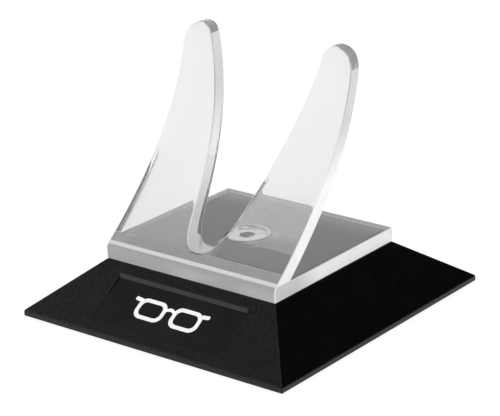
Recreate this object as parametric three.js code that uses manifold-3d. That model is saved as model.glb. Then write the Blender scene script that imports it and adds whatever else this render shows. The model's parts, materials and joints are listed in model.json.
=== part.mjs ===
// Eyeglasses display stand: a clear acrylic riser with two upswept horns that
// carry one pair of glasses, bolted to a low black tapered base.
// Millimetres, +Z up, front (label side) towards -Y, +X to the right.
// Origin: on the counter under the middle of the base.

import * as THREE from 'three';
import { mergeVertices } from 'three/addons/utils/BufferGeometryUtils.js';
import Module from 'manifold-3d';

// ---------------------------------------------------------------- dimensions
const FOOT_OUT = 0.5;          // how far the rubber feet stand below the lip
const BASE = 110;              // bottom square of the base
const LIP = 2.0;               // upright lip round the bottom edge
const TOP_X = 71.6;            // flat top of the base, across
const TOP_Y = 65.3;            // flat top of the base, front to back
const BASE_H = 17.7;           // lip foot to flat top
const WALL = 2.5;              // moulded wall, square to the slope
const DECK = 2.8;              // thickness of the flat top
const COVER_SEAT = 3.3;        // height of the step that the bottom cover meets
const COVER_HALF = 51;         // half width of the opening for the cover

const KEY = 16.0;              // square locating key on the flat top
const KEY_H = 0.6;
const KEY_GAP = 0.3;

const SLAB_GAP = 0.15;         // air film between base and riser
const SLAB_TOP = 22.9;         // top of the riser's slab above the lip foot
const SLAB_X = 71.6;
const SLAB_Y = 65.3;
const SLAB_R = 0.9;            // eased back corners
const BEND_R = 2.0;            // outer bend at the slab's front edge
const ROOT_R = 1.2;            // fillet behind the sheet

// Front face of the upswept sheet: y = Y0 + S1*Z + S2*Z^2, Z above the slab top
const Y0 = -32.09, S1 = 1.222, S2 = -0.00829;
const T_ROOT = 4.8, T_SLOPE = -0.004;  // sheet thickness, thinning to the tips
const HORN_TOP = 90.5;

// Edge of one horn seen from the front (x, height above the lip foot): up the
// notch side, round the tip and down the outer side.
const NOTCH = [
  [0, 26.2], [1.5, 26.3], [3.0, 26.65], [4.4, 27.35], [5.5, 28.25], [6.5, 29.5],
  [7.5, 31.2], [8.5, 33.5], [9.35, 36.2], [10.1, 39.0], [11.0, 42.4], [12.3, 47.0],
  [13.75, 52.5], [15.35, 58.5], [17.0, 64.5], [18.7, 70.3], [20.4, 76.4], [21.9, 81.6], [22.75, 84.6],
];
const TIP = [
  [23.25, 86.4], [23.95, 88.1], [24.95, 89.4], [26.2, 90.2], [27.6, 90.5], [29.1, 90.4],
  [30.7, 89.95], [32.2, 89.15], [33.4, 88.05], [34.3, 86.6], [34.9, 84.9], [35.25, 82.6],
];

const HOLE_R = 8.6;            // counterbore for the bolt head in the slab
const HOLE_FLOOR = 20.0;
const HEAD_R = 8.3;            // flat bolt head with a raised rim
const HEAD_BOTTOM = 20.3;
const HEAD_TOP = 22.9;
const DISH_R = 6.3, DISH_D = 0.85;
const HEX_AF = 5.0, HEX_D = 2.4;
const SHANK_R = 2.9;
const BOLT_END = 4.3;
const CLEAR_R = 3.5;           // clearance hole through slab and base

const BOSS_R = 8.5, BOSS_BOTTOM = 11.9;
const PLATE_TILT = 2.65;       // the label floor dips this many degrees into the slope
const REC_X = 27.6;            // half width of the label recess
const REC_LOW = 4.5, REC_HIGH = 23.4; // measured up the front slope from the lip top
const RAMP = 1.35;             // soft ramp at the recess's upper edge
const PANEL_T = 1.2;           // label panel thickness
const TAPE_T = 0.4;

const POST_XY = 36, POST_R = 3.6;
const FOOT_XY = 43.2, FOOT_R = 5.6;

// ---------------------------------------------------------------- solids kit
const wasm = await Module();
wasm.setup();

function solid(geometry) {
  const g = geometry.index ? geometry.toNonIndexed() : geometry.clone();
  for (const name of Object.keys(g.attributes)) if (name !== 'position') g.deleteAttribute(name);
  const m = mergeVertices(g, 1e-5);
  return new wasm.Manifold(new wasm.Mesh({
    numProp: 3,
    vertProperties: new Float32Array(m.attributes.position.array),
    triVerts: new Uint32Array(m.index.array),
  }));
}

function geometryOf(manifold) {
  const mesh = manifold.getMesh();
  const g = new THREE.BufferGeometry();
  const n = mesh.numProp, count = mesh.vertProperties.length / n;
  const pos = new Float32Array(count * 3);
  for (let i = 0; i < count; i++) for (let k = 0; k < 3; k++) pos[3 * i + k] = mesh.vertProperties[n * i + k];
  g.setAttribute('position', new THREE.BufferAttribute(pos, 3));
  g.setIndex(new THREE.BufferAttribute(new Uint32Array(mesh.triVerts), 1));
  return g;
}

const group = new THREE.Group();
group.name = 'eyeglasses_display_stand';

function add(name, manifold, colour, roughness, metalness, extra = {}) {
  const g = geometryOf(manifold);
  g.computeVertexNormals();
  const mesh = new THREE.Mesh(g, new THREE.MeshStandardMaterial({ color: colour, roughness, metalness, ...extra }));
  mesh.name = name;
  mesh.position.z = FOOT_OUT;  // everything is drawn from the lip foot up
  group.add(mesh);
  return mesh;
}

const box = (x0, x1, y0, y1, z0, z1) => {
  const g = new THREE.BoxGeometry(x1 - x0, y1 - y0, z1 - z0);
  g.translate((x0 + x1) / 2, (y0 + y1) / 2, (z0 + z1) / 2);
  return solid(g);
};

// Solid of revolution about +Z from an [r, z] profile that starts and ends on the axis.
const turned = (profile, segments = 32, x = 0, y = 0) => {
  const g = new THREE.LatheGeometry(profile.map(([r, z]) => new THREE.Vector2(r, z)), segments);
  g.rotateX(Math.PI / 2);
  g.translate(x, y, 0);
  return solid(g);
};

const rod = (r, z0, z1, segments = 24, x = 0, y = 0) => turned([[0, z0], [r, z0], [r, z1], [0, z1]], segments, x, y);

const prism = (r, z0, z1) => {           // hexagonal prism, r to the corners
  const g = new THREE.CylinderGeometry(r, r, z1 - z0, 6);
  g.rotateX(Math.PI / 2);
  g.translate(0, 0, (z0 + z1) / 2);
  return solid(g);
};

const shapeOf = (points) => new THREE.Shape(points.map(([a, b]) => new THREE.Vector2(a, b)));

// [x, y] outline raised from z0 to z1.
const raised = (points, z0, z1) => {
  const g = new THREE.ExtrudeGeometry(shapeOf(points), { depth: z1 - z0, bevelEnabled: false });
  g.translate(0, 0, z0);
  return solid(g);
};

// [y, z] outline swept across x0..x1.
const across = (points, x0, x1) => {
  const g = new THREE.ExtrudeGeometry(shapeOf(points), { depth: x1 - x0, bevelEnabled: false });
  g.applyMatrix4(new THREE.Matrix4().set(0, 0, 1, x0, 1, 0, 0, 0, 0, 1, 0, 0, 0, 0, 0, 1));
  return solid(g);
};

// [x, z] outline swept along y0..y1.
const through = (points, y0, y1) => {
  const g = new THREE.ExtrudeGeometry(shapeOf(points), { depth: y1 - y0, bevelEnabled: false });
  g.applyMatrix4(new THREE.Matrix4().set(1, 0, 0, 0, 0, 0, -1, y1, 0, 1, 0, 0, 0, 0, 0, 1));
  return solid(g);
};

// Truncated pyramid between two rectangles (half sizes).
const frustum = (ax, ay, z0, bx, by, z1) => {
  const g = new THREE.BoxGeometry(2, 2, 2);
  const p = g.attributes.position;
  for (let i = 0; i < p.count; i++) {
    const up = p.getZ(i) > 0;
    p.setXYZ(i, Math.sign(p.getX(i)) * (up ? bx : ax), Math.sign(p.getY(i)) * (up ? by : ay), up ? z1 : z0);
  }
  return solid(g);
};

// ---------------------------------------------------------------- black base
const RUN_X = (BASE - TOP_X) / 2, RUN_Y = (BASE - TOP_Y) / 2, RISE = BASE_H - LIP;
const slopeX = Math.atan2(RISE, RUN_X), slopeY = Math.atan2(RISE, RUN_Y);
const inX = WALL / Math.sin(slopeX), inY = WALL / Math.sin(slopeY);
const outer = (z) => [BASE / 2 - RUN_X * (z - LIP) / RISE, BASE / 2 - RUN_Y * (z - LIP) / RISE];
const inner = (z) => { const [a, b] = outer(z); return [a - inX, b - inY]; };

let shell = box(-BASE / 2, BASE / 2, -BASE / 2, BASE / 2, 0, LIP)
  .add(frustum(BASE / 2, BASE / 2, LIP, TOP_X / 2, TOP_Y / 2, BASE_H));
const [c0x, c0y] = inner(COVER_SEAT), [c1x, c1y] = inner(BASE_H - DECK);
let hollow = box(-COVER_HALF, COVER_HALF, -COVER_HALF, COVER_HALF, -1, COVER_SEAT)
  .add(frustum(c0x, c0y, COVER_SEAT - 0.01, c1x, c1y, BASE_H - DECK));
shell = shell.subtract(hollow);

// Inside: bolt boss, four cover posts and stiffening ribs, trimmed to the shell.
const envelope = frustum(...outer(COVER_SEAT), COVER_SEAT, TOP_X / 2, TOP_Y / 2, BASE_H - 0.5);
let inside = rod(BOSS_R, BOSS_BOTTOM, BASE_H - DECK + 0.6, 32);
for (const sx of [-1, 1]) for (const sy of [-1, 1])
  inside = inside.add(rod(POST_R, COVER_SEAT, BASE_H - 1, 20, sx * POST_XY, sy * POST_XY));
inside = inside
  .add(box(-36, -BOSS_R + 0.5, -0.9, 0.9, 9.2, BASE_H - DECK + 0.6))
  .add(box(BOSS_R - 0.5, 36, -0.9, 0.9, 9.2, BASE_H - DECK + 0.6))
  .add(box(-0.9, 0.9, -32, -BOSS_R + 0.5, 9.2, BASE_H - DECK + 0.6))
  .add(box(-0.9, 0.9, BOSS_R - 0.5, 32, 9.2, BASE_H - DECK + 0.6));
shell = shell.add(inside.intersect(envelope));
for (const sx of [-1, 1]) for (const sy of [-1, 1])
  shell = shell.subtract(rod(1.8, COVER_SEAT - 1, 11.0, 16, sx * POST_XY, sy * POST_XY));

// Locating key on top and the bolt hole.
shell = shell.add(box(-KEY / 2, KEY / 2, -KEY / 2, KEY / 2, BASE_H - 0.5, BASE_H + KEY_H));
shell = shell.subtract(rod(CLEAR_R, BOSS_BOTTOM - 1, BASE_H + 2, 24));

// Label recess. Slope frame: a runs up the front slope from the lip top, d goes
// into the slope. A backing pad inside keeps the wall full behind the recess.
const upA = new THREE.Vector2(Math.cos(slopeY), Math.sin(slopeY));       // (y, z) per a
const inD = new THREE.Vector2(Math.sin(slopeY), -Math.cos(slopeY));      // (y, z) per d
const onSlope = (a, d) => [-BASE / 2 + a * upA.x + d * inD.x, LIP + a * upA.y + d * inD.y];
const tilt = THREE.MathUtils.degToRad(PLATE_TILT);
const floorD = (a) => (a - REC_LOW) * Math.tan(tilt);
const A1 = REC_HIGH - RAMP;                    // upper end of the label floor
const DEEP = PANEL_T + TAPE_T + 0.6;           // pocket under the panel face
const pad = across([onSlope(3.2, 1.6), onSlope(25.0, 1.6), onSlope(25.0, DEEP + 2.4), onSlope(3.2, DEEP + 1.6)], -REC_X - 1.8, REC_X + 1.8);
shell = shell.add(pad.intersect(envelope));
// open dish of the recess, with the soft upper ramp
const dishPts = [onSlope(REC_LOW - 0.01, -2), onSlope(REC_LOW - 0.01, 0), onSlope(A1, floorD(A1)),
  onSlope(A1 + 0.55, floorD(A1) * 0.6), onSlope(A1 + 1.0, floorD(A1) * 0.24), onSlope(REC_HIGH, -0.02), onSlope(REC_HIGH, -2)];
shell = shell.subtract(across(dishPts, -REC_X, REC_X));
// pocket that takes the tape and the panel
const pocket = across([onSlope(REC_LOW, -1), onSlope(REC_LOW, DEEP + floorD(REC_LOW)),
  onSlope(A1, DEEP + floorD(A1)), onSlope(A1, -1)], -REC_X, REC_X);
shell = shell.subtract(pocket);
add('base_shell', shell, 0x17181a, 0.62, 0);

// ---------------------------------------------------------------- label parts
const E = 0.25;                                // clearance round the panel
const panelPts = (s, t0, t1) => [onSlope(REC_LOW + s, floorD(REC_LOW + s) + t0), onSlope(A1 - s, floorD(A1 - s) + t0),
  onSlope(A1 - s, floorD(A1 - s) + t1), onSlope(REC_LOW + s, floorD(REC_LOW + s) + t1)];
const panel = across(panelPts(E, 0, PANEL_T), -REC_X + E, REC_X - E);
add('label_panel', panel, 0x1b1c1e, 0.38, 0);
const tape = across(panelPts(1.6, PANEL_T + 0.3, PANEL_T + 0.3 + TAPE_T), -REC_X + 2.0, REC_X - 2.0);
add('label_tape', tape, 0xcfd2d0, 0.8, 0);

// Generic eyeglasses pictogram: two rounded rims joined by a bridge.
function roundRect(cx, cy, hx, hy, r, n = 5) {
  const pts = [];
  for (const [sx, sy, a0] of [[1, 1, 0], [-1, 1, 90], [-1, -1, 180], [1, -1, 270]])
    for (let i = 0; i <= n; i++) {
      const a = THREE.MathUtils.degToRad(a0 + 90 * i / n);
      pts.push([cx + sx * (hx - r) + r * Math.cos(a), cy + sy * (hy - r) + r * Math.sin(a)]);
    }
  return pts;
}
const MARK_T = 0.3;
let mark = raised(roundRect(-7.4, 0, 5.9, 4.1, 3.1), 0, MARK_T).subtract(raised(roundRect(-7.4, 0, 4.5, 2.7, 2.0), -1, 1))
  .add(raised(roundRect(7.4, 0, 5.9, 4.1, 3.1), 0, MARK_T).subtract(raised(roundRect(7.4, 0, 4.5, 2.7, 2.0), -1, 1)));
mark = mark.add(raised([[-2.2, 0.5], [-1.0, 1.25], [0, 1.5], [1.0, 1.25], [2.2, 0.5], [2.2, 1.9], [1.0, 2.6], [0, 2.85], [-1.0, 2.6], [-2.2, 1.9]], 0, MARK_T));
mark = mark.add(raised([[-12.8, 2.0], [-12.5, 3.6], [-15.6, 3.9], [-15.6, 2.3]], 0, MARK_T));
mark = mark.add(raised([[12.8, 2.0], [15.6, 2.3], [15.6, 3.9], [12.5, 3.6]], 0, MARK_T));
{
  const am = (REC_LOW + A1) / 2;
  const [my, mz] = onSlope(am, floorD(am) - 0.2);
  const m = new THREE.Matrix4().makeRotationX(slopeY - tilt);
  m.setPosition(0, my, mz);
  mark = mark.transform(m.elements);
}
add('label_emblem', mark, 0xf2f2f0, 0.45, 0);

// ---------------------------------------------------------------- clear riser
const slabBottom = BASE_H + SLAB_GAP;
const yFront = (z) => { const Z = z - SLAB_TOP; return Y0 + S1 * Z + S2 * Z * Z; };
const lean = (z) => S1 + 2 * S2 * (z - SLAB_TOP);
const yBack = (z) => yFront(z) + (T_ROOT + T_SLOPE * (z - SLAB_TOP)) * Math.sqrt(1 + lean(z) ** 2);

// Section of slab and sheet in the Y-Z plane.
const section = [];
section.push([-SLAB_Y / 2, slabBottom], [SLAB_Y / 2, slabBottom], [SLAB_Y / 2, SLAB_TOP]);
{
  // fillet behind the sheet: from the slab top up on to the back face
  const yr = yBack(SLAB_TOP);
  section.push([yr + 1.35 * ROOT_R, SLAB_TOP], [yr + 0.72 * ROOT_R, SLAB_TOP + 0.12 * ROOT_R], [yBack(SLAB_TOP + 0.5 * ROOT_R) + 0.28 * ROOT_R, SLAB_TOP + 0.5 * ROOT_R]);
}
const LEVELS = 26;
for (let i = 0; i <= LEVELS; i++) {
  const z = SLAB_TOP + ROOT_R + (HORN_TOP + 1 - SLAB_TOP - ROOT_R) * i / LEVELS;
  section.push([yBack(z), z]);
}
const bendLean = Math.atan(S1);
const bendFoot = SLAB_TOP + (-SLAB_Y / 2 - Y0) / S1 - BEND_R * Math.tan(bendLean / 2);
const bendHead = bendFoot + BEND_R * Math.sin(bendLean);
for (let i = LEVELS; i >= 0; i--) {
  const z = bendHead + (HORN_TOP + 1 - bendHead) * i / LEVELS;
  section.push([yFront(z), z]);
}
for (let i = 5; i >= 0; i--) {
  const a = bendLean * i / 6;
  section.push([-SLAB_Y / 2 + BEND_R - BEND_R * Math.cos(a), bendFoot + BEND_R * Math.sin(a)]);
}
let riser = across(section, -SLAB_X / 2, SLAB_X / 2);

// Outline of both horns seen from the front, over the full slab below.
const half = new THREE.SplineCurve([...NOTCH, ...TIP].map(([x, z]) => new THREE.Vector2(x, z))).getPoints(74).map((p) => [p.x, p.y]);
half.push([SLAB_X / 2 + 0.01, SLAB_TOP - 0.5]);
half[0] = [0, NOTCH[0][1]];
const mask = [...half, [SLAB_X / 2 + 0.01, 10], [-SLAB_X / 2 - 0.01, 10], ...half.slice(1).reverse().map(([x, z]) => [-x, z])];
riser = riser.intersect(through(mask, -60, 60));

// Rounded back corners of the slab.
const corner = [];
for (let i = 0; i <= 5; i++) { const a = Math.PI / 2 * i / 5; corner.push([SLAB_X / 2 - SLAB_R + SLAB_R * Math.cos(a), SLAB_Y / 2 - SLAB_R + SLAB_R * Math.sin(a)]); }
const plan = [[-50, -50], [50, -50], [50, SLAB_Y / 2 - SLAB_R - 0.001], ...corner, ...corner.slice().reverse().map(([x, y]) => [-x, y]), [-50, SLAB_Y / 2 - SLAB_R - 0.001]];
plan[2] = [SLAB_X / 2 + 5, SLAB_Y / 2 - SLAB_R - 0.001]; plan[1] = [SLAB_X / 2 + 5, -50];
plan[0] = [-SLAB_X / 2 - 5, -50]; plan[plan.length - 1] = [-SLAB_X / 2 - 5, SLAB_Y / 2 - SLAB_R - 0.001];
riser = riser.intersect(raised(plan, 0, 100));

riser = riser
  .subtract(rod(HOLE_R, HOLE_FLOOR, SLAB_TOP + 1, 40))
  .subtract(rod(CLEAR_R, slabBottom - 1, SLAB_TOP + 1, 24))
  .subtract(box(-KEY / 2 - KEY_GAP, KEY / 2 + KEY_GAP, -KEY / 2 - KEY_GAP, KEY / 2 + KEY_GAP, slabBottom - 1, BASE_H + KEY_H + KEY_GAP));
add('clear_riser', riser, 0xf4f7f8, 0.04, 0, { transparent: true, opacity: 0.35 });

// ---------------------------------------------------------------- fastening
let bolt = turned([[0, BOLT_END], [SHANK_R - 0.5, BOLT_END], [SHANK_R, BOLT_END + 0.6], [SHANK_R, HEAD_BOTTOM], [HEAD_R, HEAD_BOTTOM],
  [HEAD_R, HEAD_TOP - 0.35], [HEAD_R - 0.35, HEAD_TOP], [DISH_R + 0.7, HEAD_TOP], [DISH_R, HEAD_TOP - DISH_D], [0, HEAD_TOP - DISH_D]], 40);
bolt = bolt.subtract(prism(HEX_AF / Math.sqrt(3), HEAD_TOP - DISH_D - HEX_D, HEAD_TOP + 1));
add('center_bolt', bolt, 0xc9cbcc, 0.28, 0.95);

const ring = (r, bore, z0, z1, seg = 32) => rod(r, z0, z1, seg).subtract(rod(bore, z0 - 1, z1 + 1, 24));
add('nut_washer', ring(7.0, 3.3, 10.4, 11.6), 0xb9bcbe, 0.35, 0.95);
add('lock_nut', prism(10 / Math.sqrt(3), 5.1, 10.1).subtract(rod(3.25, 4, 11, 24)), 0xb9bcbe, 0.35, 0.95);

// ---------------------------------------------------------------- underside
const CV = COVER_HALF - 0.4;
let cover = box(-CV, CV, -CV, CV, 1.2, 3.0);
for (const sx of [-1, 1]) for (const sy of [-1, 1]) cover = cover.subtract(rod(1.8, 0, 4, 16, sx * POST_XY, sy * POST_XY));
add('bottom_cover', cover, 0x202123, 0.7, 0);

const corners = [['front_left', -1, -1], ['front_right', 1, -1], ['back_left', -1, 1], ['back_right', 1, 1]];
for (const [where, sx, sy] of corners) {
  const x = sx * POST_XY, y = sy * POST_XY;
  let screw = turned([[0, -0.1], [2.2, -0.1], [2.9, 0.35], [3.0, 0.9], [1.4, 0.9], [1.4, 8.4], [0, 9.8]], 20, x, y);
  screw = screw.subtract(box(x - 1.5, x + 1.5, y - 0.3, y + 0.3, -1, 0.45)).subtract(box(x - 0.3, x + 0.3, y - 1.5, y + 1.5, -1, 0.45));
  add('cover_screw_' + where, screw, 0x6f7274, 0.4, 0.9);
}
for (const [where, sx, sy] of corners)
  add('rubber_foot_' + where, turned([[0, -FOOT_OUT], [FOOT_R - 0.6, -FOOT_OUT], [FOOT_R, 0.1], [FOOT_R, 1.1], [0, 1.1]], 28, sx * FOOT_XY, sy * FOOT_XY), 0x2a2a2b, 0.85, 0);

export default group;
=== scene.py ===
"""Eyeglasses display stand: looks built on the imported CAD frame. Metres, +Z up, front towards -Y."""

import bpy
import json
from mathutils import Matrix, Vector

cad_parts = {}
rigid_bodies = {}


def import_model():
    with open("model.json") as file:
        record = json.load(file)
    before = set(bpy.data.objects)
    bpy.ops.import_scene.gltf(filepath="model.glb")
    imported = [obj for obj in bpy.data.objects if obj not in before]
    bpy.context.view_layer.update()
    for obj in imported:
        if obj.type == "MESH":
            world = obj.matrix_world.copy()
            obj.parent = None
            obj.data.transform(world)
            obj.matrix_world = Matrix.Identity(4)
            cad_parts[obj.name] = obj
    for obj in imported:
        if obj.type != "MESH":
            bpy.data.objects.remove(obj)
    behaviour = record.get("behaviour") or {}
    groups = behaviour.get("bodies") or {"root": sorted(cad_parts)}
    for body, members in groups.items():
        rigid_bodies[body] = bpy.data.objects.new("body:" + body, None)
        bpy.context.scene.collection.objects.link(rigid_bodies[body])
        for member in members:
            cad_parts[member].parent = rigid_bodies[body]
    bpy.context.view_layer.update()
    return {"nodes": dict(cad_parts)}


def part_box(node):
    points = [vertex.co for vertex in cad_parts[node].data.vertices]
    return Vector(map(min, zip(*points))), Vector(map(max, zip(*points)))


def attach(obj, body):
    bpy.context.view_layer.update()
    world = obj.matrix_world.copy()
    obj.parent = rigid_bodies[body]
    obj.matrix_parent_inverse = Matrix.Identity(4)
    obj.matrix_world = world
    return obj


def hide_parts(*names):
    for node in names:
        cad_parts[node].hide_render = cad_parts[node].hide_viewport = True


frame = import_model()

import json
import math
import random

import bmesh
import bpy
import numpy as np
from mathutils import Matrix, Vector

random.seed(7)
MM = 0.001
Z0 = 0.5                      # rubber feet stand this far below the lip (mm)
scene = bpy.context.scene
NODES = {n: bpy.data.objects[n] if n in bpy.data.objects else None for n in frame["nodes"]}

# ------------------------------------------------------------------ dimensions (mm, above the lip foot)
SLAB_B, SLAB_T = 17.85, 22.9
SX, SY = 35.8, 32.65
Y0, S1, S2 = -32.09, 1.222, -0.00829
T_ROOT, T_SLOPE = 4.8, -0.004
NOTCH = [(0, 26.2), (1.5, 26.3), (3.0, 26.65), (4.4, 27.35), (5.5, 28.25), (6.5, 29.5),
         (7.5, 31.2), (8.5, 33.5), (9.35, 36.2), (10.1, 39.0), (11.0, 42.4), (12.3, 47.0),
         (13.75, 52.5), (15.35, 58.5), (17.0, 64.5), (18.7, 70.3), (20.4, 76.4), (21.9, 81.6), (22.75, 84.6)]
TIP = [(23.25, 86.4), (23.95, 88.1), (24.95, 89.4), (26.2, 90.2), (27.6, 90.5), (29.1, 90.4),
       (30.7, 89.95), (32.2, 89.15), (33.4, 88.05), (34.3, 86.6), (34.9, 84.9), (35.25, 82.6)]


def y_front(z):
    Z = z - SLAB_T
    return Y0 + S1 * Z + S2 * Z * Z


def y_back(z):
    Z = z - SLAB_T
    s = S1 + 2 * S2 * Z
    return y_front(z) + (T_ROOT + T_SLOPE * Z) * np.sqrt(1 + s * s)


# ------------------------------------------------------------------ helpers
def link(name, bm, smooth_angle=None):
    me = bpy.data.meshes.new(name)
    bmesh.ops.recalc_face_normals(bm, faces=bm.faces)
    bm.to_mesh(me)
    bm.free()
    ob = bpy.data.objects.new(name, me)
    scene.collection.objects.link(ob)
    if smooth_angle is not None:
        shade(ob, smooth_angle)
    return ob


def shade(ob, angle=35):
    me = ob.data
    for p in me.polygons:
        p.use_smooth = True
    bm = bmesh.new()
    bm.from_mesh(me)
    lim = math.radians(angle)
    for e in bm.edges:
        e.smooth = not (len(e.link_faces) == 2 and e.calc_face_angle(0) > lim)
    bm.to_mesh(me)
    bm.free()


def weighted(ob, weight=50):
    m = ob.modifiers.new("weighted", "WEIGHTED_NORMAL")
    m.keep_sharp = True
    m.weight = weight
    return m


def bevel(ob, width, segments=2, angle=30, harden=True, clamp=True):
    m = ob.modifiers.new("bevel", "BEVEL")
    m.width = width * MM
    m.segments = segments
    m.limit_method = "ANGLE"
    m.angle_limit = math.radians(angle)
    m.use_clamp_overlap = clamp
    m.harden_normals = harden
    m.miter_outer = "MITER_ARC"
    return m


def catmull(points, per=8):
    """Uniform Catmull-Rom through the points, ends doubled."""
    P = np.array([points[0]] + list(points) + [points[-1]], float)
    out = []
    for i in range(1, len(P) - 2):
        p0, p1, p2, p3 = P[i - 1], P[i], P[i + 1], P[i + 2]
        for k in range(per):
            t = k / per
            v0, v1 = (p2 - p0) * 0.5, (p3 - p1) * 0.5
            out.append((2 * p1 - 2 * p2 + v0 + v1) * t ** 3 + (-3 * p1 + 3 * p2 - 2 * v0 - v1) * t * t + v0 * t + p1)
    out.append(P[-2])
    return np.array(out)


def resample(poly, n):
    """n + 1 points evenly spaced along a polyline."""
    d = np.r_[0, np.cumsum(np.linalg.norm(np.diff(poly, axis=0), axis=1))]
    s = np.linspace(0, d[-1], n + 1)
    return np.stack([np.interp(s, d, poly[:, k]) for k in range(poly.shape[1])], 1)


def coons(left, right, bottom, top):
    """Transfinite patch. left/right run upward, bottom/top run left to right."""
    n, m = len(left) - 1, len(bottom) - 1
    g = np.zeros((n + 1, m + 1, 2))
    for k in range(n + 1):
        v = k / n
        for j in range(m + 1):
            u = j / m
            g[k, j] = ((1 - u) * left[k] + u * right[k] + (1 - v) * bottom[j] + v * top[j]
                       - (1 - u) * (1 - v) * bottom[0] - u * (1 - v) * bottom[-1] - (1 - u) * v * top[0] - u * v * top[-1])
    return g


def turned(name, profile, segments=96, x=0.0, y=0.0):
    """Solid of revolution from an (r, z) profile in mm that starts and ends on the axis."""
    bm = bmesh.new()
    rings = []
    for r, z in profile:
        if r < 1e-6:
            rings.append([bm.verts.new((x * MM, y * MM, (z + Z0) * MM))])
        else:
            rings.append([bm.verts.new(((x + r * math.cos(2 * math.pi * i / segments)) * MM,
                                        (y + r * math.sin(2 * math.pi * i / segments)) * MM, (z + Z0) * MM)) for i in range(segments)])
    for a, b in zip(rings, rings[1:]):
        for i in range(segments):
            j = (i + 1) % segments
            if len(a) == 1:
                bm.faces.new((a[0], b[i], b[j]))
            elif len(b) == 1:
                bm.faces.new((a[i], b[0], a[j]))
            else:
                bm.faces.new((a[i], b[i], b[j], a[j]))
    return link(name, bm)


def cut(ob, cutter, op="DIFFERENCE"):
    """Applies an exact boolean to ob's mesh."""
    m = ob.modifiers.new("cut", "BOOLEAN")
    m.operation = op
    m.solver = "EXACT"
    m.object = cutter
    dg = bpy.context.evaluated_depsgraph_get()
    me = bpy.data.meshes.new_from_object(ob.evaluated_get(dg))
    ob.modifiers.remove(m)
    ob.data = me
    bpy.data.objects.remove(cutter, do_unlink=True)
    return ob


def box_at(name, x0, x1, y0, y1, z0, z1):
    bm = bmesh.new()
    bmesh.ops.create_cube(bm, size=1)
    for v in bm.verts:
        v.co = Vector(((x0 if v.co.x < 0 else x1) * MM, (y0 if v.co.y < 0 else y1) * MM, ((z0 if v.co.z < 0 else z1) + Z0) * MM))
    return link(name, bm)


def hex_at(name, af, z0, z1):
    bm = bmesh.new()
    r = af / math.sqrt(3)
    lo = [bm.verts.new((r * math.cos(math.pi / 3 * i) * MM, r * math.sin(math.pi / 3 * i) * MM, (z0 + Z0) * MM)) for i in range(6)]
    hi = [bm.verts.new((r * math.cos(math.pi / 3 * i) * MM, r * math.sin(math.pi / 3 * i) * MM, (z1 + Z0) * MM)) for i in range(6)]
    bm.faces.new(lo[::-1]); bm.faces.new(hi)
    for i in range(6):
        bm.faces.new((lo[i], lo[(i + 1) % 6], hi[(i + 1) % 6], hi[i]))
    return link(name, bm)


# ------------------------------------------------------------------ materials
class Mat:
    """Small node builder: object-space coordinates feed noise for colour, roughness and bump."""

    def __init__(self, name):
        self.m = bpy.data.materials.new(name)
        self.m.use_nodes = True
        self.nt = self.m.node_tree
        self.bsdf = self.nt.nodes["Principled BSDF"]
        self.tc = self.nt.nodes.new("ShaderNodeTexCoord")

    def node(self, kind, **props):
        n = self.nt.nodes.new(kind)
        for k, v in props.items():
            setattr(n, k, v)
        return n

    def coords(self, scale=(1, 1, 1)):
        mp = self.node("ShaderNodeMapping")
        mp.inputs["Scale"].default_value = scale
        self.nt.links.new(self.tc.outputs["Object"], mp.inputs["Vector"])
        return mp.outputs["Vector"]

    def noise(self, size_mm, detail=3.0, rough=0.55, scale=(1, 1, 1), kind="ShaderNodeTexNoise"):
        n = self.node(kind)
        n.inputs["Scale"].default_value = 1000.0 / size_mm
        if kind == "ShaderNodeTexNoise":
            n.inputs["Detail"].default_value = detail
            n.inputs["Roughness"].default_value = rough
        self.nt.links.new(self.coords(scale), n.inputs["Vector"])
        return n

    def ramp(self, src, lo, hi, a, b):
        """Linear map of src from lo..hi to the two values or colours a..b."""
        if isinstance(a, (int, float)):
            r = self.node("ShaderNodeMapRange")
            r.inputs["From Min"].default_value, r.inputs["From Max"].default_value = lo, hi
            r.inputs["To Min"].default_value, r.inputs["To Max"].default_value = a, b
            self.nt.links.new(src, r.inputs["Value"])
            return r.outputs["Result"]
        r = self.node("ShaderNodeValToRGB")
        r.color_ramp.elements[0].position, r.color_ramp.elements[1].position = lo, hi
        r.color_ramp.elements[0].color = (*a, 1)
        r.color_ramp.elements[1].color = (*b, 1)
        self.nt.links.new(src, r.inputs["Fac"])
        return r.outputs["Color"]

    def set(self, **kw):
        for k, v in kw.items():
            s = self.bsdf.inputs[k.replace("_", " ")]
            s.default_value = v
        return self

    def to(self, src, socket):
        self.nt.links.new(src, self.bsdf.inputs[socket])
        return self

    def bump(self, src, strength, distance_mm, prev=None):
        b = self.node("ShaderNodeBump")
        b.inputs["Strength"].default_value = strength
        b.inputs["Distance"].default_value = distance_mm * MM
        self.nt.links.new(src, b.inputs["Height"])
        if prev is not None:
            self.nt.links.new(prev, b.inputs["Normal"])
        self.nt.links.new(b.outputs["Normal"], self.bsdf.inputs["Normal"])
        return b.outputs["Normal"]


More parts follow.
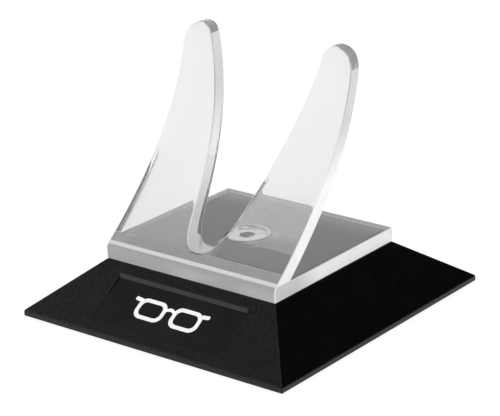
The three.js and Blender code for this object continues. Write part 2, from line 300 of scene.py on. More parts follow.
def mat_black_grain(name="black_textured_abs", gloss=1.0):
    """Moulded black ABS with a fine spark-eroded grain and slight handling polish."""
    m = Mat(name)
    m.set(IOR=1.5)
    speck = m.noise(1.0, 3, 0.7)
    m.to(m.ramp(speck.outputs["Fac"], 0.3, 0.7, 0.20 * gloss, 0.40 * gloss), "Specular IOR Level")
    big = m.noise(9.0, 4, 0.6)
    m.to(m.ramp(big.outputs["Fac"], 0.3, 0.7, (0.0018, 0.0018, 0.0019), (0.0028, 0.0028, 0.0030)), "Base Color")
    fine = m.noise(0.42, 2.5, 0.6)
    mix = m.node("ShaderNodeMath", operation="ADD")
    m.nt.links.new(m.ramp(big.outputs["Fac"], 0.3, 0.7, 0.33, 0.39), mix.inputs[0])
    m.nt.links.new(m.ramp(fine.outputs["Fac"], 0.3, 0.7, -0.05, 0.06), mix.inputs[1])
    m.to(mix.outputs["Value"], "Roughness")
    pits = m.noise(0.6, kind="ShaderNodeTexVoronoi")
    n1 = m.bump(pits.outputs["Distance"], 0.6, 0.06)
    m.bump(fine.outputs["Fac"], 0.6, 0.08, n1)
    return m.m


def mat_black_smooth(name="black_smooth_panel", rough=(0.26, 0.34), level=0.33, tone=0.004):
    """Smooth satin black with faint orange peel and dust-fine wear."""
    m = Mat(name)
    m.set(IOR=1.5)
    m.bsdf.inputs["Specular IOR Level"].default_value = level
    big = m.noise(14.0, 3, 0.5)
    m.to(m.ramp(big.outputs["Fac"], 0.3, 0.7, (0.85 * tone, 0.85 * tone, 0.9 * tone), (1.2 * tone, 1.2 * tone, 1.27 * tone)), "Base Color")
    m.to(m.ramp(big.outputs["Fac"], 0.3, 0.7, *rough), "Roughness")
    peel = m.noise(2.2, 2, 0.5)
    m.bump(peel.outputs["Fac"], 0.05, 0.05)
    return m.m


def mat_print():
    """White screen print with slight ink mottling and a faint painted glow."""
    m = Mat("white_print")
    mot = m.noise(0.7, 4, 0.6)
    m.to(m.ramp(mot.outputs["Fac"], 0.3, 0.7, (0.84, 0.84, 0.83), (0.93, 0.93, 0.92)), "Base Color")
    m.to(m.ramp(mot.outputs["Fac"], 0.3, 0.7, 0.38, 0.52), "Roughness")
    # painted glow: a faint emission brightens the print
    m.bsdf.inputs["Emission Color"].default_value = (1, 1, 1, 1)
    m.bsdf.inputs["Emission Strength"].default_value = 0.32
    m.bump(mot.outputs["Fac"], 0.12, 0.02)
    return m.m


def mat_acrylic(name, haze=0.05, rough=(0.0, 0.03), bump=0.04, grain_mm=30.0, tint=(0.985, 0.99, 0.99), ior=1.49,
                clean_low=False, worn_low=None, clear_below=None, fade=None, fade_y=None, painted_low_shade=None):
    """Clear acrylic. haze is the share of light scattered at the surface by dust, fine
    handling marks or a less polished cut. The options vary it over the piece: clean_low thins
    the haze low on the right horn, worn_low = (height, haze) roughens a strip along the bend,
    clear_below = (z0, z1, clear share) polishes the lower part. Three options paint shade into
    the colour: fade = (z0, z1, tint, right_only) darkens it towards the horn tips, fade_y =
    (y0, y1, tint) towards the front corner and the near-slab option (z0, z1, tint) near the slab."""
    m = Mat(name)
    m.set(IOR=ior)
    m.bsdf.inputs["Base Color"].default_value = (*tint, 1)
    fine = m.noise(5.0, 4, 0.6, scale=(1, 1, 0.35))
    clear = m.ramp(fine.outputs["Fac"], 0.3, 0.7, 1 - haze * 0.96, 1 - haze * 1.04)
    sep = m.node("ShaderNodeSeparateXYZ")
    m.nt.links.new(m.tc.outputs["Object"], sep.inputs["Vector"])

    def two(op, p, q):
        n = m.node("ShaderNodeMath", operation=op)
        m.nt.links.new(p, n.inputs[0])
        m.nt.links.new(q, n.inputs[1])
        return n.outputs["Value"]
    on_right = m.ramp(sep.outputs["X"], 2.0 * MM, 6.0 * MM, 0.0, 1.0)
    if clean_low:
        clear = two("MAXIMUM", clear, two("MULTIPLY", m.ramp(sep.outputs["Z"], 31.5 * MM, 33.0 * MM, 1.0, 0.0), on_right))
        dust = two("MULTIPLY", m.ramp(sep.outputs["Z"], 33.0 * MM, 36.0 * MM, 0.0, 0.10), m.ramp(sep.outputs["Z"], 38.0 * MM, 46.0 * MM, 1.0, 0.0))
        clear = two("SUBTRACT", clear, two("MULTIPLY", dust, on_right))
    if worn_low:
        clear = two("MINIMUM", clear, m.ramp(sep.outputs["Z"], (worn_low[0] - 0.1 + Z0) * MM, (worn_low[0] + 0.1 + Z0) * MM, 1 - worn_low[1], 1.0))
    if clear_below:
        clear = two("MAXIMUM", clear, m.ramp(sep.outputs["Z"], clear_below[0] * MM, clear_below[1] * MM, clear_below[2], 0.0))
    m.to(clear, "Transmission Weight")
    # painted shade: the colour darkens towards the horn tips
    if fade:
        z0, z1, dark, right_only = fade
        f = m.ramp(sep.outputs["Z"], z0 * MM, z1 * MM, 0.0, 1.0)
        if right_only:
            f = two("MULTIPLY", f, on_right)
        shade_col = m.ramp(f, 0.0, 1.0, tint, dark)
        # painted shade: the colour darkens near the slab
        if painted_low_shade:
            low = m.ramp(m.ramp(sep.outputs["Z"], painted_low_shade[0] * MM, painted_low_shade[1] * MM, 1.0, 0.0), 0.0, 1.0, (1.0, 1.0, 1.0), painted_low_shade[2])
            mul = m.node("ShaderNodeVectorMath", operation="MULTIPLY")
            m.nt.links.new(shade_col, mul.inputs[0])
            m.nt.links.new(low, mul.inputs[1])
            shade_col = mul.outputs["Vector"]
        m.to(shade_col, "Base Color")
    # painted shade: the colour darkens towards the front corner
    if fade_y:
        y0, y1, dark = fade_y
        m.to(m.ramp(m.ramp(sep.outputs["Y"], y0 * MM, y1 * MM, 1.0, 0.0), 0.0, 1.0, tint, dark), "Base Color")
    m.to(m.ramp(fine.outputs["Fac"], 0.4, 0.8, *rough), "Roughness")
    wav = m.noise(grain_mm, 1, 0.5)
    m.bump(wav.outputs["Fac"], bump, 0.10)
    return m.m


def mat_metal(name, colour, rough, scratch=0.08, brushed=None):
    m = Mat(name)
    m.bsdf.inputs["Metallic"].default_value = 1.0
    n = m.noise(2.5, 4, 0.6)
    c = colour
    m.to(m.ramp(n.outputs["Fac"], 0.3, 0.75, tuple(0.92 * v for v in c), c), "Base Color")
    m.to(m.ramp(n.outputs["Fac"], 0.3, 0.7, rough[0], rough[1]), "Roughness")
    s = m.noise(0.35, 3, 0.6, scale=brushed or (1, 1, 1))
    m.bump(s.outputs["Fac"], scratch, 0.02)
    return m.m


def mat_rubber():
    m = Mat("foot_rubber")
    n = m.noise(0.5, 4, 0.65)
    m.to(m.ramp(n.outputs["Fac"], 0.3, 0.7, (0.014, 0.014, 0.014), (0.024, 0.024, 0.024)), "Base Color")
    m.to(m.ramp(n.outputs["Fac"], 0.3, 0.7, 0.72, 0.86), "Roughness")
    m.bump(n.outputs["Fac"], 0.25, 0.04)
    return m.m


def mat_tape():
    m = Mat("tape")
    n = m.noise(0.4, 3, 0.6)
    m.to(m.ramp(n.outputs["Fac"], 0.3, 0.7, (0.55, 0.57, 0.55), (0.66, 0.68, 0.66)), "Base Color")
    m.set(Roughness=0.8)
    m.bump(n.outputs["Fac"], 0.3, 0.05)
    return m.m


M_GRAIN = mat_black_grain()
# painted shade: a less glossy copy of the grain for the right slope, so that side reads darker
M_GRAIN_SHADED_RIGHT = mat_black_grain("black_textured_abs_painted_shade_right", 0.25)
M_PANEL = mat_black_smooth()
M_RAMP = mat_black_smooth("black_smooth_ramp", (0.30, 0.38), 0.46, 0.004)
# painted light: a brighter black for the recess's left wall, standing in for light on a wall that lies in shade
M_WALL_PAINTED_LIGHT = mat_black_smooth("black_smooth_wall_painted_light", (0.5, 0.6), 0.30, 0.034)
M_COVER = mat_black_smooth("black_cover", (0.5, 0.62))
M_PRINT_GLOW = mat_print()
M_CLEAR = mat_acrylic("clear_acrylic", 0.03)
M_HORN = mat_acrylic("clear_acrylic_sheet", 0.20, (0.0, 0.02), tint=(0.925, 0.93, 0.93), clean_low=True)
# painted shade: on the right horn the outer edge wall darkens towards the tip
M_EDGE = mat_acrylic("clear_acrylic_edge", 0.80, (0.05, 0.10), 0.02, 6.0, fade=(50.0, 68.0, (0.62, 0.625, 0.625), True))
M_EDGE2 = mat_acrylic("clear_acrylic_polished_edge", 0.16, (0.0, 0.01), 0.0, 30.0, tint=(0.935, 0.94, 0.94), ior=1.001)
# painted shade: the grey tint darkens the slab's sawn front and back faces against the brighter sawn side
M_SIDE = mat_acrylic("clear_acrylic_sawn_front_painted_shade", 0.60, (0.28, 0.36), 0.03, 3.0, tint=(0.70, 0.705, 0.705))
M_BEND = mat_acrylic("clear_acrylic_bend", 0.90, (0.30, 0.36), 0.0, 3.0)
M_ROOT = mat_acrylic("clear_acrylic_root", 0.40, (0.02, 0.06), 0.02, 8.0, worn_low=(24.0, 0.88))
# underside of the slab, wetted against the black base: no air film to mirror the light
M_UNDER = mat_acrylic("clear_acrylic_underside", 0.10, (0.0, 0.04), 0.0, 6.0, tint=(0.35, 0.35, 0.35), ior=1.02)
# painted dark reflection: the dark grey tint darkens the horn tips' end faces
M_TIP_PAINTED_DARK = mat_acrylic("clear_acrylic_tip_painted_dark", 0.30, (0.05, 0.10), 0.02, 6.0, tint=(0.26, 0.26, 0.26))
# painted shade: the sawn side darkens towards the front corner
M_SIDE_R = mat_acrylic("clear_acrylic_sawn_side", 0.80, (0.28, 0.36), 0.03, 3.0, fade_y=(-21.0, -9.0, (0.64, 0.645, 0.645)))
# painted shade: the inner edge darkens towards the tip and near the slab
M_EDGE_L = mat_acrylic("clear_acrylic_edge_inner", 0.94, (0.02, 0.06), 0.02, 6.0, tint=(0.995, 0.995, 0.995), ior=1.001, clear_below=(52.0, 72.0, 0.80), fade=(54.0, 72.0, (0.74, 0.745, 0.745), False), painted_low_shade=(36.0, 47.0, (0.70, 0.70, 0.70)))
# painted shade: the grey tint darkens the crease fillet behind the sheet
M_FILLET = mat_acrylic("clear_acrylic_fillet_painted_shade", 0.10, (0.0, 0.02), 0.0, 6.0, tint=(0.70, 0.70, 0.70), ior=1.02)
# painted shade: the upper arris darkens towards the horn tips
M_ARRIS_D = mat_acrylic("clear_acrylic_arris_upper", 0.70, (0.05, 0.10), 0.0, 6.0, fade=(48.0, 74.0, (0.50, 0.50, 0.50), False))
M_EDGE3 = mat_acrylic("clear_acrylic_lower_edge", 0.04, (0.0, 0.01), 0.0, 30.0)
M_ARRIS = mat_acrylic("clear_acrylic_arris", 0.80, (0.10, 0.20), 0.0, 6.0)
M_BOLT = mat_metal("bright_bolt", (0.45, 0.45, 0.46), (0.10, 0.16), 0.08)
M_ZINC = mat_metal("zinc_steel", (0.62, 0.63, 0.65), (0.28, 0.42), 0.15)
M_SCREW = mat_metal("zinc_screw", (0.50, 0.51, 0.53), (0.30, 0.45), 0.15)
M_RUBBER = mat_rubber()
M_TAPE = mat_tape()


def paint(ob, mat):
    ob.data.materials.clear()
    ob.data.materials.append(mat)


def dress(node, mat, width=0.25, segments=2, angle=30, flat=True):
    """Carried-over CAD node: coplanar triangles merged, edges softened, own material."""
    ob = frame["nodes"][node]
    ob = ob if hasattr(ob, "data") else bpy.data.objects[node]
    for i in range(len(ob.material_slots)):
        ob.material_slots[i].material = mat
    if flat:
        d = ob.modifiers.new("flat", "DECIMATE")
        d.decimate_type = "DISSOLVE"
        d.angle_limit = math.radians(0.6)
    if width:
        bevel(ob, width, segments, angle)
    return ob


# ------------------------------------------------------------------ clear riser
def build_riser():
    dense = catmull(NOTCH + TIP, 24)
    # where the notch bottom turns 45 degrees, and the tip's two shoulders
    d = np.diff(dense, axis=0)
    ang = np.degrees(np.arctan2(d[:, 1], d[:, 0]))
    low = int(np.argmax(ang > 45))
    after = np.arange(len(ang))
    up = int(np.where((after > low + 50) & (ang < 50))[0][0])
    down = int(np.where((after > up) & (ang < -52))[0][0])
    arc = dense[:low + 1]
    inner = dense[low:up + 1]
    top = dense[up:down + 1]
    outer = dense[down:]
    ext = np.array([[SX, SLAB_T]])
    z_c = arc[-1, 1]
    # outer edge from the shoulder down to z_c
    lower_outer = np.vstack([outer, ext])
    zz = lower_outer[:, 1]
    x_out = lambda z: float(np.interp(z, zz[::-1], lower_outer[::-1, 0]))
    cut_i = int(np.argmax(zz < z_c))
    right = np.vstack([lower_outer[:cut_i], [[x_out(z_c), z_c]]])[::-1]
    J, Mcol, R1, RV = 7, 16, 64, 5
    A_arc = resample(arc, J)
    left_b, right_b = resample(inner, R1), resample(right, R1)
    top_b = resample(top, Mcol)
    bottom_b = resample(np.array([arc[-1], [x_out(z_c), z_c]]), Mcol)
    upper = coons(left_b, right_b, bottom_b, top_b)              # rows R1+1, cols Mcol+1
    cols = J + Mcol + 1

    def lower_rows(zb):
        rows = []
        for k in range(RV + 1):
            row = []
            for j in range(cols):
                if j <= J:
                    x, zt = A_arc[j]
                    x_low = x
                else:
                    x, zt = bottom_b[j - J]
                    x_low = x
                z_r = min(26.3, zt - 0.55)
                z = zb if k == 0 else z_r + (zt - z_r) * (k - 1) / (RV - 1)
                if j > J:
                    u = (j - J) / Mcol
                    x = x_low + (x_out(z) - x_out(zt)) * u
                row.append((x, z))
            rows.append(row)
        return rows

    bm = bmesh.new()

    def vert(x, y, z):
        return bm.verts.new((x * MM, y * MM, (z + Z0) * MM))

    # bend at the slab's front edge, radius 2 mm
    R = 2.0
    th = math.atan(S1)
    zi = SLAB_T + (-SY - Y0) / S1 - 0.006
    tl = R * math.tan(th / 2)
    z_a = zi - tl
    cyc, czc = -SY + R, z_a
    bend = [(cyc - R * math.cos(a), czc + R * math.sin(a)) for a in np.linspace(0, th, 9)]
    z_fb = bend[-1][1]
    # fillet behind the sheet, radius 0.5 mm, between the slab top and the back face
    r2 = 0.5
    sb = S1
    thb = math.atan(sb)                      # lean from vertical
    # centre sits r2 above the slab top and r2 from the back face line
    yb0 = float(y_back(SLAB_T))
    # line of back face: y = yb0 + sb (z - T); distance from the centre along its normal is r2
    cz = SLAB_T + r2
    cy = yb0 + sb * r2 + r2 / math.cos(thb)
    a0, a1 = -math.pi / 2, -math.pi + thb    # from straight down round to the face normal
    fil = [(cy + r2 * math.cos(a), cz + r2 * math.sin(a)) for a in np.linspace(a0, a1 + 0.0, 8)]
    z_bb = fil[-1][1]

    front_low, back_low = lower_rows(z_fb), lower_rows(z_bb)
    # closed profile below: from the front row 0 down, round the slab, up to back row 0
    under = bend[::-1][1:] + [(-SY, 20.2), (-SY, SLAB_B)]
    under_top = [(SY, SLAB_B), (SY, SLAB_T), (20.0, SLAB_T), (5.0, SLAB_T), (-8.0, SLAB_T)] + fil[:-1]
    loop = under + [(-10.0, SLAB_B), (10.0, SLAB_B)] + under_top

    halves = []
    for sgn in (1, -1):
        def V(x, y, z, sgn=sgn):
            return vert(sgn * x, y, z)
        F, B = {}, {}
        for k, row in enumerate(front_low):
            for j, (x, z) in enumerate(row):
                F[(k, j)] = V(x, float(y_front(z)), z)
        for k, row in enumerate(back_low):
            for j, (x, z) in enumerate(row):
                B[(k, j)] = V(x, float(y_back(z)), z)
        for k in range(1, R1 + 1):
            for j in range(Mcol + 1):
                x, z = upper[k, j]
                F[(RV + k, J + j)] = V(x, float(y_front(z)), z)
                B[(RV + k, J + j)] = V(x, float(y_back(z)), z)
        G = {}
        for i, (y, z) in enumerate(loop):
            for j in range(cols):
                x = front_low[0][j][0]
                if j > J:
                    x = bottom_b[0][0] + (SX - bottom_b[0][0]) * (j - J) / Mcol
                G[(i, j)] = V(x, y, z)
        n = len(loop)

        def quad(a, b, c, d_, tag=0):
            f = bm.faces.new((a, b, c, d_) if sgn > 0 else (d_, c, b, a))
            f.material_index = tag
            return f
        # front and back sheets
        for D, flip in ((F, False), (B, True)):
            for k in range(RV + R1):
                j0 = 0 if k < RV else J
                for j in range(j0, cols - 1):
                    q = (D[(k, j)], D[(k, j + 1)], D[(k + 1, j + 1)], D[(k + 1, j)])
                    quad(*(q[::-1] if flip else q), 2 if flip or k >= 1 else 6)
        # slab shell
        seq = [[F[(0, j)] for j in range(cols)]] + [[G[(i, j)] for j in range(cols)] for i in range(n)] + [[B[(0, j)] for j in range(cols)]]
        for i, (a, b) in enumerate(zip(seq, seq[1:])):
            tag = 3 if i < 10 or i == 13 else 7 if i in (10, 11, 12) else 11 if i >= 18 else 0
            for j in range(cols - 1):
                quad(b[j], b[j + 1], a[j + 1], a[j], tag)
        # notch and edge walls
        rim = [(RV, j) for j in range(J + 1)] + [(RV + k, J) for k in range(1, R1 + 1)] \
            + [(RV + R1, J + j) for j in range(1, Mcol + 1)] + [(RV + k, cols - 1) for k in range(R1 - 1, -1, -1)] \
            + [(k, cols - 1) for k in range(RV - 1, -1, -1)]
        for i, (a, b) in enumerate(zip(rim, rim[1:])):
            inner_side = J <= i < J + R1
            outer_side = i >= J + R1 + Mcol
            tip = J + R1 - (2 if sgn < 0 else 0) <= i < J + R1 + Mcol + (5 if sgn > 0 else 0)
            away = (inner_side and sgn > 0) or (outer_side and sgn < 0)
            low = outer_side and F[a].co.z < (47.5 + Z0) * MM
            quad(F[a], F[b], B[b], B[a], 8 if tip else (14 if i < J or (sgn < 0 and inner_side) else 1) if not away else 12 if low else 5)
        # side of the slab
        side = [F[(0, cols - 1)]] + [G[(i, cols - 1)] for i in range(n)] + [B[(0, cols - 1)]]
        f = bm.faces.new(side if sgn < 0 else side[::-1])
        f.material_index = 10
    bmesh.ops.remove_doubles(bm, verts=bm.verts, dist=2e-6)
    bmesh.ops.recalc_face_normals(bm, faces=bm.faces)
    # round the slab's two back corners
    edges = [e for e in bm.edges if all(abs(abs(v.co.x) - SX * MM) < 1e-6 and abs(v.co.y - SY * MM) < 1e-6 for v in e.verts)
             and abs(e.verts[0].co.z - e.verts[1].co.z) > 0.003]
    bmesh.ops.bevel(bm, geom=edges, offset=0.9 * MM, offset_type="OFFSET", segments=6, profile=0.5, affect="EDGES")
    bad = [e for e in bm.edges if len(e.link_faces) != 2]
    print("riser: faces", len(bm.faces), "open edges", len(bad), "corner edges", len(edges))
    ob = link("riser_clear", bm)
    for m in (M_CLEAR, M_EDGE, M_HORN, M_SIDE, M_BEND, M_EDGE2, M_ROOT, M_UNDER, M_TIP_PAINTED_DARK, M_ARRIS, M_SIDE_R, M_FILLET, M_EDGE3, M_ARRIS_D, M_EDGE_L):
        ob.data.materials.append(m)
    bevel(ob, 0.32, 3, 32, harden=False, clamp=False).material = 9
    dg = bpy.context.evaluated_depsgraph_get()
    me = bpy.data.meshes.new_from_object(ob.evaluated_get(dg))
    ob.modifiers.clear()
    ob.data = me
    for p in me.polygons:
        if p.material_index == 9 and p.normal.x > 0.15 and p.normal.y < -0.15 and p.center.z > 44 * MM:
            p.material_index = 13
        elif p.material_index == 9 and p.normal.x < -0.15 and p.normal.y > 0.1 and p.center.z > 46 * MM:
            p.material_index = 5
    cut(ob, turned("c1", [(0, 20.0), (8.6, 20.0), (8.6, 25.0), (0, 25.0)], 96))
    cut(ob, turned("c2", [(0, 15.0), (3.5, 15.0), (3.5, 22.0), (0, 22.0)], 64))
    cut(ob, box_at("c3", -8.3, 8.3, -8.3, 8.3, 15.0, 18.6))
    shade(ob, 34)
    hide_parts("clear_riser")
    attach(ob, "root")
    return ob


RISER = build_riser()

# ------------------------------------------------------------------ bolt head with raised rim, dish and hex socket
def build_bolt():
    hr, ht, hb = 8.3, 22.9, 20.3
    prof = [(0, 4.3), (2.3, 4.3), (2.9, 4.9)]
    # shallow thread on the shank
    z = 5.6
    while z < 17.4:
        prof += [(2.9, z), (2.62, z + 0.35), (2.9, z + 0.7)]
        z += 1.0
    prof += [(2.9, hb - 0.3), (3.1, hb), (hr - 0.25, hb), (hr, hb + 0.25), (hr, ht - 0.55), (hr - 0.08, ht - 0.30), (hr - 0.28, ht - 0.09), (hr - 0.55, ht),
             (7.15, ht), (6.95, ht - 0.06), (6.35, ht - 0.68), (6.0, ht - 0.83), (5.6, ht - 0.85), (0, ht - 0.85)]
    ob = turned("bolt_head_and_shank", prof, 96)
    cut(ob, hex_at("h", 5.0, ht - 0.85 - 2.4, ht + 1))
    shade(ob, 25)
    bevel(ob, 0.08, 2, 40)
    paint(ob, M_BOLT)
    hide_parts("center_bolt")
    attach(ob, "root")
    return ob


BOLT = build_bolt()

# ------------------------------------------------------------------ cover screws and feet
for where, sx, sy in (("front_left", -1, -1), ("front_right", 1, -1), ("back_left", -1, 1), ("back_right", 1, 1)):
    lo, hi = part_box("cover_screw_" + where)
    cx, cy = (lo.x + hi.x) / 2 / MM, (lo.y + hi.y) / 2 / MM
    prof = [(0, -0.10), (1.2, -0.09), (2.0, -0.03), (2.55, 0.14), (2.85, 0.42), (3.0, 0.75), (3.0, 0.88), (1.35, 0.9)]
    z = 1.4
    while z < 7.6:
        prof += [(1.08, z), (1.38, z + 0.3), (1.08, z + 0.6)]
        z += 0.9
    prof += [(1.05, 8.2), (0.5, 9.2), (0, 9.7)]
    s = turned("screw_" + where, prof, 48, cx, cy)
    a = math.radians(random.uniform(0, 90))
    for k in (0, 1):
        c = box_at("k", -1.45, 1.45, -0.28, 0.28, -1.0, 0.42)
        c.data.transform(Matrix.Translation((cx * MM, cy * MM, 0)) @ Matrix.Rotation(a + k * math.pi / 2, 4, "Z"))
        cut(s, c)
    shade(s, 30)
    bevel(s, 0.06, 2, 45)
    paint(s, M_SCREW)
    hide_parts("cover_screw_" + where)
    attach(s, "root")
    lo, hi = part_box("rubber_foot_" + where)
    cx, cy, r = (lo.x + hi.x) / 2 / MM, (lo.y + hi.y) / 2 / MM, (hi.x - lo.x) / 2 / MM
    f = turned("foot_" + where, [(0, -0.42), (r - 2.4, -0.42), (r - 2.1, -0.5), (r - 0.9, -0.5), (r - 0.45, -0.40), (r - 0.18, -0.12), (r - 0.03, 0.25), (r, 0.6), (r, 1.05), (r - 0.05, 1.1), (0, 1.1)], 72, cx, cy)
    shade(f, 35)
    paint(f, M_RUBBER)
    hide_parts("rubber_foot_" + where)
    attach(f, "root")

# ------------------------------------------------------------------ printed pictogram on the label panel
def build_mark():
    slope = math.atan2(17.7 - 2.0, (110 - 65.3) / 2)
    tilt = math.radians(2.65)
    low, a1 = 4.5, 23.4 - 1.35
    up = (math.cos(slope), math.sin(slope))
    into = (math.sin(slope), -math.cos(slope))
    floor = lambda a: (a - low) * math.tan(tilt)
    am = (low + a1) / 2

    def place(u, v, h):
        # u across, v up the panel, h off the panel
        my = -55 + am * up[0] + floor(am) * into[0]
        mz = 2.0 + am * up[1] + floor(am) * into[1]
        d = slope - tilt
        n = (-math.sin(d), math.cos(d))
        return Vector((u * MM, (my + v * math.cos(d) + h * n[0]) * MM, (mz + v * math.sin(d) + h * n[1] + Z0) * MM))

    def rr(cx, cy, hx, hy, r, n=10):
        pts = []
        for sx, sy, a0 in ((1, 1, 0), (-1, 1, 90), (-1, -1, 180), (1, -1, 270)):
            for i in range(n + 1):
                a = math.radians(a0 + 90 * i / n)
                pts.append((cx + sx * (hx - r) + r * math.cos(a), cy + sy * (hy - r) + r * math.sin(a)))
        return pts
    H0, H1 = 0.02, 0.12
    bm = bmesh.new()

    def ring(outer, inner):
        n = len(outer)
        vs = [[bm.verts.new(place(*p, h)) for p in pts] for pts, h in ((outer, H0), (outer, H1), (inner, H1), (inner, H0))]
        for a, b in zip(vs, vs[1:] + vs[:1]):
            for i in range(n):
                j = (i + 1) % n
                bm.faces.new((a[i], a[j], b[j], b[i]))

    def plate(pts):
        lo = [bm.verts.new(place(*p, H0)) for p in pts]
        hi = [bm.verts.new(place(*p, H1)) for p in pts]
        bm.faces.new(lo[::-1]); bm.faces.new(hi)
        for i in range(len(pts)):
            j = (i + 1) % len(pts)
            bm.faces.new((lo[i], lo[j], hi[j], hi[i]))
    return bm, ring, plate, rr


bmk, ring, plate, rr = build_mark()
for sx in (-1, 1):
    ring(rr(7.4 * sx, 0, 5.9, 4.1, 3.1), rr(7.4 * sx, 0, 4.5, 2.7, 2.0))
arch = [(x, 1.5 - 1.2 * (x / 2.2) ** 2 * 0.85) for x in np.linspace(-2.0, 2.0, 13)]
plate(arch + [(x, y + 1.25) for x, y in arch[::-1]])
for s in (-1, 1):
    pts = [(s * 12.9, 2.1), (s * 15.3, 2.4), (s * 15.6, 2.7), (s * 15.6, 3.5), (s * 15.3, 3.85), (s * 12.4, 3.55)]
    plate(pts if s > 0 else pts[::-1])
MARK = link("mark_pictogram", bmk)
shade(MARK, 30)
paint(MARK, M_PRINT_GLOW)
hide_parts("label_emblem")
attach(MARK, "root")

# ------------------------------------------------------------------ carried-over CAD nodes


def body_of(node, name):
    src = frame["nodes"][node]
    me = src.data.copy()
    me.transform(src.matrix_world)
    ob = bpy.data.objects.new(name, me)
    scene.collection.objects.link(ob)
    return ob


def build_base():
    """The moulded shell with every outer edge rounded: the CAD body trimmed by a rounded hull."""
    e = 0.003
    rings = [(55 + e, 55 + e, 0 - e), (55 + e, 55 + e, 2.0), (35.8 + e, 32.65 + e, 17.7 + e)]
    bm = bmesh.new()
    vs = [[bm.verts.new((sx * hx * MM, sy * hy * MM, (z + Z0) * MM)) for sx, sy in ((-1, -1), (1, -1), (1, 1), (-1, 1))] for hx, hy, z in rings]
    for a, b in zip(vs, vs[1:]):
        for i in range(4):
            j = (i + 1) % 4
            bm.faces.new((a[i], a[j], b[j], b[i]))
    bm.faces.new(vs[0][::-1]); bm.faces.new(vs[-1])
    hull = link("hull", bm)
    bevel(hull, 0.42, 4, 20, harden=False)
    dg = bpy.context.evaluated_depsgraph_get()
    me = bpy.data.meshes.new_from_object(hull.evaluated_get(dg))
    hull.modifiers.clear()
    hull.data = me
    cut(hull, box_at("key", -8.05, 8.05, -8.05, 8.05, 16.0, 18.32), "UNION")
    ob = body_of("base_shell", "base_moulding")
    paint(ob, M_GRAIN)
    paint(hull, M_GRAIN)
    cut(ob, hull, "INTERSECT")
    paint(ob, M_GRAIN)
    ob.data.materials.append(M_RAMP)
    ob.data.materials.append(M_WALL_PAINTED_LIGHT)
    ob.data.materials.append(M_GRAIN_SHADED_RIGHT)
    slope = math.atan2(15.7, 110 / 2 - 65.3 / 2)
    for p in ob.data.polygons:
        y, z = p.center.y / MM, p.center.z / MM - Z0
        along = (y + 55) * math.cos(slope) + (z - 2.0) * math.sin(slope)
        deep = (y + 55) * math.sin(slope) - (z - 2.0) * math.cos(slope)
        lean = math.degrees(math.atan2(-p.normal.y, p.normal.z)) - math.degrees(slope)
        p.material_index = 1 if 21.5 < along < 23.6 and 0.02 < deep < 1.2 and abs(p.center.x) < 27.7 * MM and lean > 8 and abs(p.normal.x) < 0.2 else 0
        # painted light: the recess's left wall gets the brighter wall material so it reads lit instead of shaded
        if p.normal.x > 0.7 and p.center.x < -20 * MM and 4.0 < along < 23.6 and 0.0 < deep < 1.2 and y < -33:
            p.material_index = 2
        # painted shade: the right slope gets the less glossy grain copy so it reads darker
        if 0.3 < p.normal.x < 0.95 and p.normal.z > 0.3 and p.center.x > 34 * MM and z > 2.0:
            p.material_index = 3
    print("base moulding: polygons", len(ob.data.polygons), "ramp", sum(p.material_index == 1 for p in ob.data.polygons), "wall", sum(p.material_index == 2 for p in ob.data.polygons))
    shade(ob, 32)
    weighted(ob)
    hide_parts("base_shell")
    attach(ob, "root")
    return ob


build_base()


def build_panel():
    """Label panel let into the slope with only a hairline joint."""
    ob = body_of("label_panel", "label_plate")
    P = [v.co.copy() for v in ob.data.vertices]
    c = sum(P, Vector()) / len(P)
    hx = max(abs(p.x) for p in P)
    kx = (hx + 0.22 * MM) / hx
    d = math.atan2(15.7, 110 / 2 - 65.3 / 2) - math.radians(2.65)
    up = Vector((0, math.cos(d), math.sin(d)))
    hv = max(abs((p - c).dot(up)) for p in P)
    kv = (hv + 0.20 * MM) / hv
    for v in ob.data.vertices:
        q = v.co - c
        w = q.dot(up)
        q += up * (w * kv - w)
        q.x = (c.x + q.x) * kx - c.x
        v.co = c + q
    d2 = ob.modifiers.new("flat", "DECIMATE")
    d2.decimate_type = "DISSOLVE"
    d2.angle_limit = math.radians(0.6)
    bevel(ob, 0.06, 2, 30)
    paint(ob, M_PANEL)
    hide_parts("label_panel")
    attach(ob, "root")


build_panel()
dress("label_tape", M_TAPE, 0.05, 1)
dress("nut_washer", M_ZINC, 0.12, 2, 50)
dress("lock_nut", M_ZINC, 0.25, 2, 50)
dress("bottom_cover", M_COVER, 0.2, 2, flat=False)

# ------------------------------------------------------------------ floor, light, camera
def build_floor():
    bm = bmesh.new()
    bmesh.ops.create_grid(bm, x_segments=1, y_segments=1, size=8.0)
    ob = link("floor", bm)
    m = Mat("floor_white")
    n = m.noise(60.0, 2, 0.5)
    m.to(m.ramp(n.outputs["Fac"], 0.3, 0.7, (0.24, 0.24, 0.24), (0.26, 0.26, 0.26)), "Base Color")
    m.set(Roughness=0.9)
    m.bsdf.inputs["Specular IOR Level"].default_value = 0.0
    m.bsdf.inputs["Emission Color"].default_value = (1, 1, 1, 1)
    m.bsdf.inputs["Emission Strength"].default_value = 0.90
    paint(ob, m.m)


build_floor()

world = bpy.data.worlds.new("studio")
scene.world = world
world.use_nodes = True
wn = world.node_tree
bg = wn.nodes["Background"]
tcw = wn.nodes.new("ShaderNodeTexCoord")
sep = wn.nodes.new("ShaderNodeSeparateXYZ")
wn.links.new(tcw.outputs["Generated"], sep.inputs["Vector"])


def band(src, a, b, va, vb):
    n = wn.nodes.new("ShaderNodeMapRange")
    n.interpolation_type = "SMOOTHSTEP"
    n.inputs["From Min"].default_value, n.inputs["From Max"].default_value = a, b
    n.inputs["To Min"].default_value, n.inputs["To Max"].default_value = va, vb
    wn.links.new(src, n.inputs["Value"])
    return n.outputs["Result"]


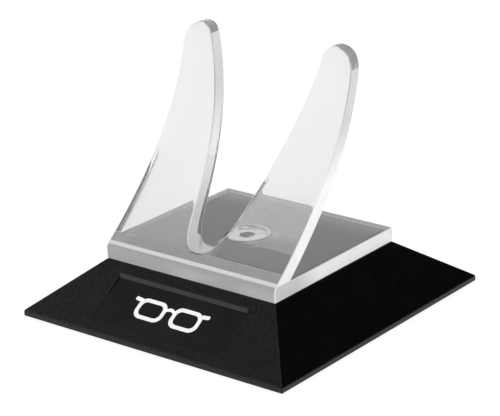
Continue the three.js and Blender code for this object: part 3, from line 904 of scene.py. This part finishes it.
def lobe(direction, inner, outer, value):
    """Soft round patch of light on the studio walls."""
    n = wn.nodes.new("ShaderNodeVectorMath")
    n.operation = "DOT_PRODUCT"
    n.inputs[1].default_value = Vector(direction).normalized()
    wn.links.new(tcw.outputs["Generated"], n.inputs[0])
    return band(n.outputs["Value"], math.cos(math.radians(outer)), math.cos(math.radians(inner)), 0.0, value)


level = band(sep.outputs["Z"], 0.36, 0.52, 0.85, 0.02)
shade_back = lobe((0.36, 0.78, 0.50), 30, 58, 1.0)           # unlit corner behind, to the right
keep = band(shade_back, 0.0, 1.0, 1.0, 0.02)
mx = wn.nodes.new("ShaderNodeMath")
mx.operation = "MULTIPLY"
wn.links.new(level, mx.inputs[0])
wn.links.new(keep, mx.inputs[1])
level = mx.outputs["Value"]
for patch in (lobe((-0.60, -0.12, 0.80), 16, 40, 0.26),      # upper left
              lobe((-0.586, -0.663, 0.40), 14, 44, 1.25),    # front left
              lobe((-0.62, 0.68, 0.36), 14, 40, 1.25),       # back left
              lobe((0.02, 0.10, 1.0), 6, 16, 2.8)):          # overhead
    mx = wn.nodes.new("ShaderNodeMath")
    mx.operation = "MAXIMUM"
    wn.links.new(level, mx.inputs[0])
    wn.links.new(patch, mx.inputs[1])
    level = mx.outputs["Value"]
wn.links.new(level, bg.inputs["Strength"])
bg.inputs["Color"].default_value = (1, 1, 1, 1)


def area(name, loc, target, size, power, size_y=None):
    l = bpy.data.lights.new(name, "AREA")
    l.energy = power
    l.shape = "RECTANGLE"
    l.size, l.size_y = size, size_y or size
    o = bpy.data.objects.new(name, l)
    o.location = loc
    o.rotation_mode = "QUATERNION"
    o.rotation_quaternion = (Vector(target) - Vector(loc)).to_track_quat("-Z", "Y")
    scene.collection.objects.link(o)
    return o


area("soft_right", (1.15, -0.10, 0.30), (0, 0, 0.03), 0.70, 7.0)

CAM_POS = (0.435266, -0.537382, 0.292666 + Z0 * MM)
CAM_AZ, CAM_EL, CAM_ROLL = 38.9756, 20.5947, -2.1076
LENS = 158.125
cam = bpy.data.cameras.new("camera")
co = bpy.data.objects.new("camera", cam)
scene.collection.objects.link(co)
scene.camera = co
cam.sensor_width = 36.0
cam.sensor_fit = "AUTO"
cam.lens = LENS
cam.clip_start, cam.clip_end = 0.01, 50
a, e, r = (math.radians(v) for v in (CAM_AZ, CAM_EL, CAM_ROLL))
back = Vector((math.sin(a) * math.cos(e), -math.cos(a) * math.cos(e), math.sin(e)))
right = Vector((math.cos(a), math.sin(a), 0))
upv = back.cross(right)
r2 = math.cos(r) * right + math.sin(r) * upv
u2 = -math.sin(r) * right + math.cos(r) * upv
M = Matrix(((r2.x, u2.x, back.x), (r2.y, u2.y, back.y), (r2.z, u2.z, back.z)))
co.rotation_mode = "QUATERNION"
co.rotation_quaternion = M.to_quaternion()
co.location = CAM_POS

scene.view_settings.view_transform = "Standard"
scene.view_settings.look = "None"
scene.view_settings.exposure = 0.0
scene.view_settings.gamma = 1.0
